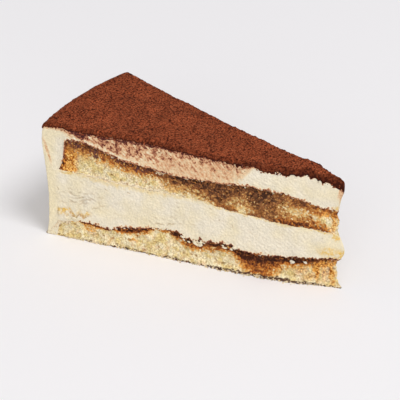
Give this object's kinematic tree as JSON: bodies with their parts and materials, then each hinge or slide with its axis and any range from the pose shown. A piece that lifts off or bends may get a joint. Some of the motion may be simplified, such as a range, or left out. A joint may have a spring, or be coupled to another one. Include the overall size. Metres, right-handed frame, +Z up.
{
  "type": "tiramisu slice",
  "caption": "Wedge of round tiramisu cake: coffee-soaked sponge courses set in mascarpone cream under a cocoa-dusted top, with a cream rim and cut faces on both sides.",
  "frame": {"origin": "centre of the bounding box's bottom face, on the surface the slice stands on", "axes": "+Z up, the shortest extent; +X from the cream rim towards the pointed tip, the longest extent; the cut face on -Y is the one described"},
  "size_m": [0.1301, 0.0589, 0.0522],
  "materials": {
    "sponge": "open pale yellow cake crumb, dark brown where coffee has soaked in and golden at the baked skins",
    "cream": "ivory whipped mascarpone, satin, dragged by the knife on the cuts and stained by cocoa under the top",
    "cocoa": "sifted reddish brown cocoa powder, fully matte, darker and ragged along the cut edges"
  },
  "bodies": {
    "root": {"sponge_base": "sponge", "cream_middle": "cream", "sponge_upper": "sponge", "cream_top": "cream", "cocoa_dusting": "cocoa"}
  },
  "joints": []
}
